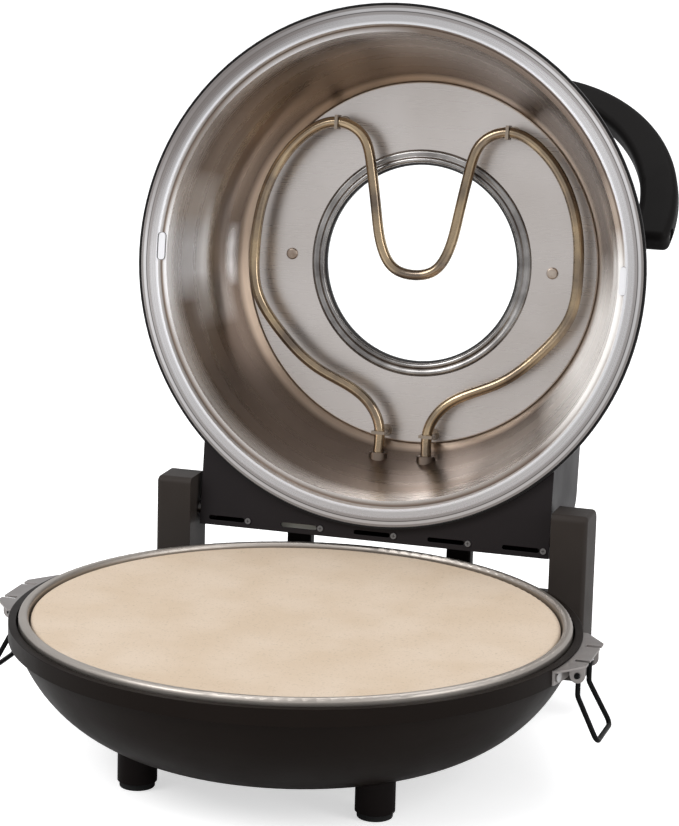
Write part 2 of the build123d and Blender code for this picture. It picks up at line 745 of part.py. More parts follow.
with BuildPart() as window_outer_ring:
    disc(lid.offset(dome_top), bezel_radius, 2.5, 67)
    fillet(window_outer_ring.edges().group_by(lid_axis)[-1], 1)
    disc(lid.offset(glass_bottom), bezel_neck_outer, dome_top - glass_bottom, bezel_neck)
    bore([plane.offset(dome_top - 1) for plane in bezel_screws_at], rivet_shank, 5)
window_outer_ring.part.label = "window_outer_ring"
export_step(window_outer_ring.part, "parts/window_outer_ring.step")

with BuildPart() as bezel_screws:
    disc([plane.offset(dome_top + 2.5) for plane in bezel_screws_at], 2.4, 1)
    disc([plane.offset(dome_top - 3) for plane in bezel_screws_at], rivet_shank - tube_fit, 5.5)
bezel_screws.part.label = "bezel_screws"
export_step(bezel_screws.part, "parts/bezel_screws.step")

# ---- Upper heater --------------------------------------------------------------------------
# Half of the heater's middle line: out of its bush, round the wall, then down to the U bend.
heater_half = [
    (heater_end, 142),
    (heater_end, 133),
    (heater_end, 124),
    (heater_end + 0.5, 107),
    (26, 91),
    (60, 73),
    (90, 48),
    (105, 26),
    (108.5, -2),
    (106, -30),
    (97, -56),
    (80, -78),
    (57, -88.5),
    (40, -81),
    (33, -63),
    (27, -30),
    (22, -9),
    (14, 3),
]
with BuildLine(lid.offset(heater_height)) as upper_path:
    Spline(heater_half + [(0, 7)] + [(-x, y) for x, y in reversed(heater_half)])

with BuildPart() as upper_heater:
    tube(upper_path, tube_radius)
upper_heater.part.label = "upper_heater"
export_step(upper_heater.part, "parts/upper_heater.step")

with BuildPart() as upper_heater_room:
    tube(upper_path, tube_radius + tube_fit)

clip_bottom = heater_height - tube_radius - 1.5
with BuildPart() as upper_heater_supports:
    for x, y, wide, deep in ((57, -88.5, 2, 9), (heater_end, 111, 9, 2)):
        with BuildSketch(at(lid, 0, y, clip_bottom)):
            with GridLocations(2 * x, 0, 2, 1):
                Rectangle(wide, deep)
        extrude(amount=9)
        with BuildSketch(at(lid, 0, y, heater_height)):
            with GridLocations(2 * x, 0, 2, 1):
                Rectangle(min(wide, 4), min(deep, 4))
        extrude(amount=plate_height - heater_height)
        with BuildSketch(at(lid, 0, y, plate_height - 1)):
            with GridLocations(2 * x, 0, 2, 1):
                Circle(4)
        extrude(amount=1)
    add(upper_heater_room.part, mode=Mode.SUBTRACT)
upper_heater_supports.part.label = "upper_heater_supports"
export_step(upper_heater_supports.part, "parts/upper_heater_supports.step")

with BuildPart() as upper_heater_bushes:
    disc(upper_ends, upper_bush - tube_fit, 16)
    add(upper_heater_room.part, mode=Mode.SUBTRACT)
upper_heater_bushes.part.label = "upper_heater_bushes"
export_step(upper_heater_bushes.part, "parts/upper_heater_bushes.step")

# ---- Hinge housing of the lid --------------------------------------------------------------
housing_front = 109.0
housing_floor = panel_front + panel_sheet
housing_heel, housing_head, housing_head_back = 34.0, 78.0, 147.0
inset = housing_wall
axis_point = (hinge_back, lid_drop)
with BuildPart() as hinge_housing:
    with BuildSketch(lid_side.offset(-housing_half)):
        with BuildLine():
            FilletPolyline(
                (housing_front, housing_floor),
                (housing_back, housing_floor),
                (housing_back, housing_heel),
                (housing_head_back, housing_head),
                (housing_front, housing_head),
                radius=(0, 10, 12),
            )
            Line((housing_front, housing_head), (housing_front, housing_floor))
        make_face()
    extrude(amount=2 * housing_half)
    with BuildSketch(lid_side.offset(inset - housing_half)):
        with BuildLine():
            FilletPolyline(
                (housing_front + inset, housing_floor),
                (housing_back - inset, housing_floor),
                (housing_back - inset, housing_heel - 0.6),
                (housing_head_back - 1, housing_head - inset),
                (housing_front + inset, housing_head - inset),
                radius=(0, 8, 10),
            )
            Line(
                (housing_front + inset, housing_head - inset), (housing_front + inset, housing_floor)
            )
        make_face()
    extrude(amount=2 * (housing_half - inset), mode=Mode.SUBTRACT)
    for side in (-1, 1):
        boss = Plane(at(lid_side, *axis_point, side * pin_inner).origin, z_dir=(side, 0, 0))
        disc(boss, 6, 7)
    add(dome_form.part, mode=Mode.SUBTRACT)
    bore(
        at(lid_side, *axis_point, -housing_half - 1),
        pin_radius + pin_clearance,
        2 * housing_half + 2,
    )
hinge_housing.part.label = "hinge_housing"
export_step(hinge_housing.part, "parts/hinge_housing.step")

panel_slots = [(index - (slot_count - 1) / 2) * slot_pitch for index in range(slot_count)]
panel_screws_at = [
    at(lid, x + slot_length / 2 + panel_screw_reach, slot_back) for x in panel_slots
]
with BuildPart() as vent_panel:
    with BuildSketch(at(lid, 0, (95 + housing_back) / 2, panel_front)):
        Rectangle(2 * housing_half, housing_back - 95)
    extrude(amount=panel_sheet)
    add(dome_form.part, mode=Mode.SUBTRACT)
    with BuildSketch(at(lid, 0, slot_back, panel_front)):
        with GridLocations(slot_pitch, 0, slot_count, 1):
            SlotOverall(slot_length, slot_width)
    extrude(amount=panel_sheet, mode=Mode.SUBTRACT)
    bore([plane.offset(panel_front) for plane in panel_screws_at], 1.0, panel_sheet)
vent_panel.part.label = "vent_panel"
export_step(vent_panel.part, "parts/vent_panel.step")

with BuildPart() as vent_panel_screws:
    disc([plane.offset(panel_front - 1) for plane in panel_screws_at], 1.9, 1)
    disc([plane.offset(panel_front) for plane in panel_screws_at], 0.9, panel_sheet + 0.6)
vent_panel_screws.part.label = "vent_panel_screws"
export_step(vent_panel_screws.part, "parts/vent_panel_screws.step")

with BuildPart() as lid_terminal_block:
    block_seat = lid.from_local_coords((0, housing_back - inset, 18))
    with BuildSketch(Plane(block_seat, x_dir=(1, 0, 0), z_dir=-lid.y_dir)):
        with Locations((-45, 0)):
            Rectangle(34, 16)
    extrude(amount=12)
lid_terminal_block.part.label = "lid_terminal_block"
export_step(lid_terminal_block.part, "parts/lid_terminal_block.step")

# ---- Handle and catches --------------------------------------------------------------------
handle_axis = Axis(handle_plane.origin, handle_plane.z_dir)
handle_run = Axis(handle_plane.origin, handle_up)
handle_screw_along = 13.0
handle_screw_reach = handle_half_straight + math.sqrt(
    handle_radius**2 - (handle_centre - handle_screw_along) ** 2
)
head_seat = handle_screw_reach - 3.5
with BuildPart() as lid_handle:
    with BuildSketch(handle_plane):
        with Locations((0, handle_centre)):
            SlotCenterToCenter(2 * handle_half_straight, 2 * handle_radius)
            SlotCenterToCenter(
                2 * handle_inner_half_straight, 2 * (handle_radius - handle_bar), mode=Mode.SUBTRACT
            )
        with Locations((0, handle_cut - handle_radius)):
            Rectangle(4 * handle_radius, 2 * handle_radius, mode=Mode.SUBTRACT)
    extrude(amount=handle_thick / 2, both=True)
    fillet(lid_handle.edges().filter_by(handle_axis).group_by(handle_run)[0], handle_edge)
    fillet(lid_handle.faces().filter_by(handle_axis).edges(), handle_edge)
    for side in (-1, 1):
        seat = at(handle_plane, side * head_seat, handle_screw_along)
        bore(Plane(seat.origin, z_dir=(side, 0, 0)), 4, 8)
        bore(Plane(seat.origin, z_dir=(-side, 0, 0)), rivet_shank + tube_fit, 27)
lid_handle.part.label = "lid_handle"
export_step(lid_handle.part, "parts/lid_handle.step")

with BuildPart() as handle_form:
    with BuildSketch(handle_plane.offset(-handle_thick)):
        with Locations((0, handle_centre)):
            SlotCenterToCenter(2 * handle_inner_half_straight, 2 * (handle_radius - handle_bar))
    extrude(amount=2 * handle_thick)
with BuildPart() as handle_mounts:
    with BuildSketch(handle_plane):
        with Locations((0, handle_screw_along)):
            with GridLocations(2 * 142, 0, 2, 1):
                RectangleRounded(36, 15, 3)
    extrude(amount=3.2, both=True)
    add(handle_form.part, mode=Mode.INTERSECT)
    add(dome_form.part, mode=Mode.SUBTRACT)
    for side in (-1, 1):
        seat = at(handle_plane, side * head_seat, handle_screw_along)
        bore(Plane(seat.origin, z_dir=(-side, 0, 0)), rivet_shank + tube_fit, 27)
handle_mounts.part.label = "handle_mounts"
export_step(handle_mounts.part, "parts/handle_mounts.step")

with BuildPart() as handle_screws:
    for side in (-1, 1):
        seat = at(handle_plane, side * head_seat, handle_screw_along)
        disc(Plane(seat.origin, z_dir=(side, 0, 0)), 3.8, 2.4)
        disc(Plane(seat.origin, z_dir=(-side, 0, 0)), rivet_shank, 25)
handle_screws.part.label = "handle_screws"
export_step(handle_screws.part, "parts/handle_screws.step")

with BuildPart() as latch_catches:
    for side in (-1, 1):
        with BuildSketch(Plane(lid.origin, x_dir=(side, 0, 0), z_dir=-side * lid.y_dir)):
            Polygon(
                (148, 8),
                (160.8, 8),
                (157.4, 16),
                (161, 16),
                (161, 20.5),
                (159.4, 20.5),
                (159.4, 17.8),
                (148, 17.8),
                align=None,
            )
        extrude(amount=catch_half - 1, both=True)
    add(dome_form.part, mode=Mode.SUBTRACT)
latch_catches.part.label = "latch_catches"
export_step(latch_catches.part, "parts/latch_catches.step")
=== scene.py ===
"""Looks of a round electric pizza maker that stands with its steel-lined lid open.

Lengths are in metres and colours are linear, unless a line says otherwise.
"""

import json
import logging
import math
from dataclasses import dataclass
from enum import Enum
from typing import Any, Optional

import bmesh
import bpy
from mathutils import Matrix, Vector


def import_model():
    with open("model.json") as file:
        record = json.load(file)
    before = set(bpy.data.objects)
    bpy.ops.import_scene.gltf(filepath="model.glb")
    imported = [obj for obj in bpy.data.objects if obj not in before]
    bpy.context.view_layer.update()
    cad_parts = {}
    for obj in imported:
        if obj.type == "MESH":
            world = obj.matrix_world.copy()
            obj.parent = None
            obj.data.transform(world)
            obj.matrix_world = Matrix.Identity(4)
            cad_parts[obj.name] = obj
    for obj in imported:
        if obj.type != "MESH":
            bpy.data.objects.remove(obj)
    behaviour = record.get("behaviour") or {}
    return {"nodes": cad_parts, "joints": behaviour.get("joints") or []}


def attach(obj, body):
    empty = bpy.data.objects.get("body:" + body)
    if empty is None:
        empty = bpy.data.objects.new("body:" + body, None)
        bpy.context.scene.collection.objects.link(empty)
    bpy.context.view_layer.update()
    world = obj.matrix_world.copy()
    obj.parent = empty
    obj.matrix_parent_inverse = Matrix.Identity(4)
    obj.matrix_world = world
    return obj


frame: dict[str, Any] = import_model()

log = logging.getLogger("pizza_maker")
Colour = tuple[float, float, float]
Socket = bpy.types.NodeSocket
Seat = tuple[Vector, Vector]  # a screw head's centre and its outward direction

MM = 0.001
RIGHT_ANGLE = math.pi / 2

GLASS_IOR = 1.48
BEVEL_SAMPLES = 6
NOISE_BAND = (0.3, 0.7)  # where nearly all values of a noise lie
PATCH_BAND = (0.35, 0.65)  # a narrower band, so that the soft patches have clear cores
PATCH_DETAIL = 4.0
FAN_SOFT = 0.003  # the width of a fan's inner and outer edge
FAN_CORE = 0.3  # the share of a fan's spread that has its full colour
BRUSH_STRETCH = (14.0, 1400.0, 1400.0)  # brushing runs along X
SPUN_LEAN = 0.7  # what a step along the axis adds to the track, beside one away from it
MIX_FACTOR, MIX_A, MIX_B, MIX_RESULT = 0, 6, 7, 2  # the sockets of a mix of two colours


class Grain(Enum):
    """How a surface's fine texture runs."""

    NONE = "none"
    PEEL = "peel"  # the soft ripple of sprayed paint
    MOULDED = "moulded"  # the fine pits of a spark-eroded mould
    LINEAR = "linear"  # straight brushing
    SPUN = "spun"  # rings turned round an axis
    STONE = "stone"  # grog and pores of fired cordierite


@dataclass(frozen=True)
class Noise:
    """A noise by its numbers.

    Args:
        scale: how many times it repeats in a metre, roughly.
        detail: the number of octaves.
    """

    scale: float
    detail: float


@dataclass(frozen=True)
class Texture:
    """The noises of one kind of grain.

    Args:
        relief: the noise of the surface's height.
        drift: the slower noise of its roughness, or None where the relief's own does it.
        least: the least roughness, as a share of the finish's own.
        most: the greatest roughness, as a share of the finish's own.
    """

    relief: Noise
    drift: Optional[Noise]
    least: float
    most: float


TEXTURES: dict[Grain, Texture] = {
    Grain.PEEL: Texture(Noise(420.0, 2.0), Noise(22.0, 4.0), 0.86, 1.16),
    Grain.MOULDED: Texture(Noise(2600.0, 2.0), Noise(35.0, 3.0), 0.92, 1.08),
    Grain.LINEAR: Texture(Noise(1.0, 3.0), None, 0.96, 1.05),
    Grain.SPUN: Texture(Noise(2600.0, 3.0), Noise(120.0, 2.0), 0.8, 1.25),
}


@dataclass(frozen=True)
class StoneTexture:
    """The pores, lumps and specks of fired cordierite.

    Args:
        pores: the noise of the fine pores.
        lumps: the coarser noise under them.
        lump_height: the lumps' height beside the pores'.
        specks: the noise of the specks.
        speck_band: the noise's values between which a speck comes in.
        speck_share: how much of the specks' colour is laid on.
        speck_colour: the specks' colour.
    """

    pores: Noise = Noise(900.0, 4.0)
    lumps: Noise = Noise(160.0, 3.0)
    lump_height: float = 1.5
    specks: Noise = Noise(700.0, 1.0)
    speck_band: tuple[float, float] = (0.62, 0.7)
    speck_share: float = 0.35
    speck_colour: Colour = (0.32, 0.26, 0.19)


@dataclass(frozen=True)
class Turning:
    """The axis that a spun surface was turned round.

    Args:
        centre: a point on the axis.
        axis: the axis's unit direction.
    """

    centre: tuple[float, float, float]
    axis: tuple[float, float, float]


@dataclass(frozen=True)
class Ring:
    """A zone of a turned surface between two radii and two depths.

    Args:
        inner: the smaller radius.
        outer: the larger radius.
        low: the smaller distance along the axis.
        high: the larger distance along the axis.
        colour: the zone's colour.
        share: how much of the zone's colour is laid on.
        soft: the width of the zone's edges.
    """

    inner: float
    outer: float
    low: float
    high: float
    colour: Colour
    share: float
    soft: float = 0.0006


@dataclass(frozen=True)
class PaintedLightFan:
    """A sector of a turned surface painted lighter for a highlight and darker for a reflection of
    dark surroundings.

    Args:
        angle: the sector's middle, in degrees from the user's right, upward on the open lid.
        spread: half the sector's width, in degrees.
        colour: the sector's colour.
        share: how much of the colour is laid on in the middle.
        inner: the sector starts at this radius.
        outer: the sector ends at this radius.
        scatter: how far the sector scatters light instead of mirroring it, so that a white painted
            highlight stays white.
    """

    angle: float
    spread: float
    colour: Colour
    share: float
    inner: float
    outer: float
    scatter: float = 0.0


@dataclass(frozen=True)
class Finish:
    """A procedural finish, from which one material is built.

    Args:
        name: the material's name.
        colour: the base colour.
        roughness: the mean roughness.
        metallic: 1 for bare metal.
        second: the colour that the first drifts to in soft patches.
        patch: the size of a patch.
        drift: how far the patches reach, from 0 to 1.
        grain: the kind of fine texture.
        relief: the height of the fine texture.
        anisotropy: how far highlights stretch across the grain.
        edge: radius that sharp edges are rounded to in shading.
        turning: the axis for a spun grain.
        transmission: 1 for glass.
        specular: strength of the plain reflection, 0.5 for a common plastic.
        rings: zones of another colour at a distance from the turning's axis; the liner's are
            painted highlights and painted reflections.
        painted_light_fans: sectors round the turning's axis, painted lighter for a highlight and
            darker for a reflection of dark surroundings.
        slot: the record's material slot of a new piece in this finish; not used.
    """

    name: str
    colour: Colour
    roughness: float
    metallic: float = 0.0
    second: Optional[Colour] = None
    patch: float = 0.05
    drift: float = 0.5
    grain: Grain = Grain.NONE
    relief: float = 0.00002
    anisotropy: float = 0.0
    edge: float = 0.0
    turning: Optional[Turning] = None
    transmission: float = 0.0
    specular: float = 0.5
    rings: tuple[Ring, ...] = ()
    painted_light_fans: tuple[PaintedLightFan, ...] = ()
    slot: str = ""


class Tree:
    """A thin helper round a material's node tree."""

    def __init__(self, tree: bpy.types.NodeTree) -> None:
        self.tree = tree

    def add(self, kind: str, **inputs: Any) -> bpy.types.Node:
        """Adds a node.

        Args:
            kind: the node's type.
            inputs: socket values by name, with spaces as underscores, and node attributes.

        Returns:
            The new node.
        """
        node = self.tree.nodes.new(kind)
        for key, value in inputs.items():
            name = key.replace("_", " ")
            if name in node.inputs:
                self.feed(value, node.inputs[name])
            else:
                setattr(node, key, value)
        return node

    def feed(self, value: Any, socket: Socket) -> None:
        """Links a socket, or sets the input's value.

        Args:
            value: an output socket or a plain value.
            socket: the input.
        """
        if isinstance(value, Socket):
            self.tree.links.new(value, socket)
        else:
            socket.default_value = value

    def math(self, operation: str, a: Any, b: Any = 0.0) -> Socket:
        """One scalar operation.

        Args:
            operation: the operation's name.
            a: the first value or socket.
            b: the second value or socket.

        Returns:
            The result's socket.
        """
        node = self.tree.nodes.new("ShaderNodeMath")
        node.operation = operation
        self.feed(a, node.inputs[0])
        self.feed(b, node.inputs[1])
        return node.outputs[0]

    def vector(
        self, operation: str, a: Any, b: Any = (0.0, 0.0, 0.0), out: str = "Vector"
    ) -> Socket:
        """One vector operation.

        Args:
            operation: the operation's name.
            a: the first value or socket.
            b: the second value or socket, a number for SCALE.
            out: the wanted output's name.

        Returns:
            The named output's socket.
        """
        node = self.tree.nodes.new("ShaderNodeVectorMath")
        node.operation = operation
        self.feed(a, node.inputs[0])
        self.feed(b, node.inputs["Scale" if operation == "SCALE" else 1])
        return node.outputs[out]

    def noise(self, where: Any, kind: Noise, flat: bool = False) -> Socket:
        """A noise value from 0 to 1.

        Args:
            where: a vector socket, or a scalar one when flat is set.
            kind: the noise's numbers.
            flat: whether the noise runs along one number.

        Returns:
            The value's socket.
        """
        node = self.tree.nodes.new("ShaderNodeTexNoise")
        node.noise_dimensions = "1D" if flat else "3D"
        self.feed(where, node.inputs["W" if flat else "Vector"])
        node.inputs["Scale"].default_value = kind.scale
        node.inputs["Detail"].default_value = kind.detail
        return node.outputs[0]

    def span(self, value: Any, low: float, high: float, to_low: float, to_high: float) -> Socket:
        """Maps a value from one range to another, clamped.

        Args:
            value: the value or socket.
            low: the first range's start.
            high: the first range's end.
            to_low: the second range's start.
            to_high: the second range's end.

        Returns:
            The mapped socket.
        """
        node = self.tree.nodes.new("ShaderNodeMapRange")
        self.feed(value, node.inputs["Value"])
        ends = {"From Min": low, "From Max": high, "To Min": to_low, "To Max": to_high}
        for name, number in ends.items():
            node.inputs[name].default_value = number
        return node.outputs["Result"]

    def within(self, share: Any, value: Any, low: float, high: float, soft: float) -> Socket:
        """Fades a share out where a value leaves a range.

        Args:
            share: the share inside the range.
            value: the value or socket.
            low: the range's start.
            high: the range's end.
            soft: the width of each soft end, inside the range.

        Returns:
            The share's socket, 0 outside the range.
        """
        share = self.math("MULTIPLY", share, self.span(value, low, low + soft, 0.0, 1.0))
        return self.math("MULTIPLY", share, self.span(value, high - soft, high, 1.0, 0.0))

    def mix(self, factor: Any, a: Any, b: Any) -> Socket:
        """Mixes two colours.

        Args:
            factor: the second colour's share.
            a: the first colour or its socket.
            b: the second colour or its socket.

        Returns:
            The mixed colour's socket.
        """
        node = self.tree.nodes.new("ShaderNodeMix")
        node.data_type = "RGBA"
        self.feed(factor, node.inputs[MIX_FACTOR])
        for colour, index in ((a, MIX_A), (b, MIX_B)):
            self.feed((*colour, 1.0) if isinstance(colour, tuple) else colour, node.inputs[index])
        return node.outputs[MIX_RESULT]


class Paint:
    """The material of one finish while it is built.

    Args:
        finish: what the surface looks like.
    """

    def __init__(self, finish: Finish) -> None:
        self.finish = finish
        self.made = bpy.data.materials.new(finish.name)
        self.made.use_nodes = True
        self.made.diffuse_color = (*finish.colour, 1.0)
        self.tree = Tree(self.made.node_tree)
        self.inputs = self.made.node_tree.nodes["Principled BSDF"].inputs
        self.where = self.tree.add("ShaderNodeTexCoord").outputs["Object"]

    def build(self) -> bpy.types.Material:
        """Builds the material.

        Returns:
            The finished material.
        """
        finish, tree, inputs = self.finish, self.tree, self.inputs
        inputs["Base Color"].default_value = (*finish.colour, 1.0)
        inputs["Roughness"].default_value = finish.roughness
        inputs["Metallic"].default_value = finish.metallic
        inputs["Specular IOR Level"].default_value = finish.specular
        if finish.transmission:
            inputs["Transmission Weight"].default_value = finish.transmission
            inputs["IOR"].default_value = GLASS_IOR
        if finish.second:
            patches = tree.noise(self.where, Noise(1.0 / finish.patch, PATCH_DETAIL))
            factor = tree.span(patches, *PATCH_BAND, 0.0, finish.drift)
            colour = tree.mix(factor, finish.colour, finish.second)
            if finish.rings or finish.painted_light_fans:
                colour = self._zones(colour)
            tree.feed(colour, inputs["Base Color"])
        bump = self._grain()
        if finish.edge:
            bevel = tree.add("ShaderNodeBevel", samples=BEVEL_SAMPLES, Radius=finish.edge)
            tree.feed(bevel.outputs[0], (bump.inputs if bump else inputs)["Normal"])
        if bump:
            tree.feed(bump.outputs[0], inputs["Normal"])
        return self.made

    def _polar(self) -> tuple[Socket, Socket, Socket, Socket]:
        """Finds where a point lies round the turning's axis.

        Returns:
            The distance from the axis, the distance along it, the direction round it and the
            unit direction away from it.
        """
        tree, turning = self.tree, self.finish.turning
        reach = tree.vector("SUBTRACT", self.where, turning.centre)
        along = tree.vector("DOT_PRODUCT", reach, turning.axis, "Value")
        axis = tree.add("ShaderNodeCombineXYZ", **dict(zip("XYZ", turning.axis))).outputs[0]
        spoke = tree.vector("SUBTRACT", reach, tree.vector("SCALE", axis, along))
        radius = tree.vector("LENGTH", spoke, out="Value")
        around = tree.vector("NORMALIZE", tree.vector("CROSS_PRODUCT", axis, spoke))
        return radius, along, around, tree.vector("NORMALIZE", spoke)

    def _zones(self, colour: Socket) -> Socket:
        """Lays the rings over a colour and the painted highlight and reflection sectors over the
        rings.

        Args:
            colour: the colour that they are laid on.

        Returns:
            The new colour.
        """
        tree = self.tree
        radius, along, _, spoke = self._polar()
        metal = self.finish.metallic
        for ring in self.finish.rings:
            share = tree.within(ring.share, radius, ring.inner, ring.outer, ring.soft)
            share = tree.within(share, along, ring.low, ring.high, ring.soft)
            colour = tree.mix(share, colour, ring.colour)
        for fan in self.finish.painted_light_fans:
            turn = math.radians(fan.angle)
            upward = -math.sin(turn)
            middle = (math.cos(turn), upward * LID.back.y, upward * LID.back.z)
            nearness = tree.vector("DOT_PRODUCT", spoke, middle, "Value")
            edge = math.cos(math.radians(fan.spread))
            full = math.cos(math.radians(fan.spread * FAN_CORE))
            share = tree.span(nearness, edge, full, 0.0, fan.share)
            share = tree.within(share, radius, fan.inner, fan.outer, FAN_SOFT)
            colour = tree.mix(share, colour, fan.colour)
            if fan.scatter:
                metal = tree.math("SUBTRACT", metal, tree.math("MULTIPLY", share, fan.scatter))
        tree.feed(metal, self.inputs["Metallic"])
        return colour

    def _ripple(self, where: Socket, flat: bool = False) -> Socket:
        """Lays out the grain's relief and lets the roughness drift.

        Args:
            where: the place in the texture.
            flat: whether that place is one number.

        Returns:
            The height.
        """
        tree, texture = self.tree, TEXTURES[self.finish.grain]
        height = tree.noise(where, texture.relief, flat)
        drift = tree.noise(where, texture.drift, flat) if texture.drift else height
        least = self.finish.roughness * texture.least
        most = self.finish.roughness * texture.most
        tree.feed(tree.span(drift, *NOISE_BAND, least, most), self.inputs["Roughness"])
        return height

    def _stone(self) -> Socket:
        """Lays specks on the stone's colour and gives it pores.

        Returns:
            The height.
        """
        tree, stone, base = self.tree, StoneTexture(), self.inputs["Base Color"]
        pores = tree.noise(self.where, stone.pores)
        lumps = tree.math("MULTIPLY", tree.noise(self.where, stone.lumps), stone.lump_height)
        height = tree.math("ADD", pores, lumps)
        specks = tree.noise(self.where, stone.specks)
        share = tree.span(specks, *stone.speck_band, 0.0, stone.speck_share)
        under = base.links[0].from_socket if base.is_linked else self.finish.colour
        tree.feed(tree.mix(share, under, stone.speck_colour), base)
        return height

    def _grain(self) -> Optional[bpy.types.Node]:
        """Gives the finish its fine texture.

        Returns:
            The bump node, or None where the finish has no grain.
        """
        finish, tree = self.finish, self.tree
        if finish.grain is Grain.NONE:
            return None
        if finish.grain is Grain.STONE:
            height = self._stone()
        elif finish.grain is Grain.LINEAR:
            height = self._ripple(tree.vector("MULTIPLY", self.where, BRUSH_STRETCH))
            direction = tree.add("ShaderNodeCombineXYZ", X=1.0)
            tree.feed(direction.outputs[0], self.inputs["Tangent"])
        elif finish.grain is Grain.SPUN:
            radius, along, around, _ = self._polar()
            track = tree.math("ADD", radius, tree.math("MULTIPLY", along, SPUN_LEAN))
            height = self._ripple(track, flat=True)
            tree.feed(around, self.inputs["Tangent"])
        else:
            height = self._ripple(self.where)
        self.inputs["Anisotropic"].default_value = finish.anisotropy
        bump = tree.add("ShaderNodeBump", Strength=1.0, Distance=finish.relief)
        tree.feed(height, bump.inputs["Height"])
        return bump


class Workshop:
    """Builds each finish's material once."""

    def __init__(self) -> None:
        self.made: dict[str, bpy.types.Material] = {}

    def material(self, finish: Finish) -> bpy.types.Material:
        """Finds or builds the material of a finish.

        Args:
            finish: what the surface looks like.

        Returns:
            The material, built on first use.
        """
        if finish.name not in self.made:
            self.made[finish.name] = Paint(finish).build()
        return self.made[finish.name]


def joint(name: str) -> dict[str, Any]:
    """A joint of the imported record.

    Args:
        name: the joint's name.

    Returns:
        The joint's entry.
    """
    return next(entry for entry in frame["joints"] if entry["name"] == name)


@dataclass(frozen=True)
class LidPlace:
    """Turns the closed lid's own sizes into places on the open lid.

    Args:
        hinge: a point on the hinge axis.
        opened: how far the lid is open, in radians.
        hinge_back: how far the hinge is behind the lid's middle.
        hinge_rise: how far the hinge is above the rim plane.
    """

    hinge: Vector
    opened: float
    hinge_back: float = 0.164
    hinge_rise: float = 0.0115

    @property
    def axis(self) -> Vector:
        """The dome's axis, away from the rim plane."""
        return Vector((0.0, math.sin(self.opened), math.cos(self.opened)))

    @property
    def back(self) -> Vector:
        """The direction from the lid's middle to the hinge."""
        return Vector((0.0, math.cos(self.opened), -math.sin(self.opened)))

    def point(self, x: float, back: float, height: float) -> Vector:
        """A place on the open lid.

        Args:
            x: to the user's right.
            back: behind the lid's middle when closed.
            height: above the rim plane.

        Returns:
            The place in the row frame.
        """
        return (
            self.hinge
            + Vector((x, 0.0, 0.0))
            + self.back * (back - self.hinge_back)
            + self.axis * (height - self.hinge_rise)
        )


HINGE = joint("lid_hinge")
LID = LidPlace(Vector(HINGE["pos_m"]), math.radians(HINGE["range_deg"][1]))
BOWL_Y = LID.hinge.y - LID.hinge_back
LID_TURNING = Turning(tuple(LID.point(0, 0, 0)), tuple(LID.axis))


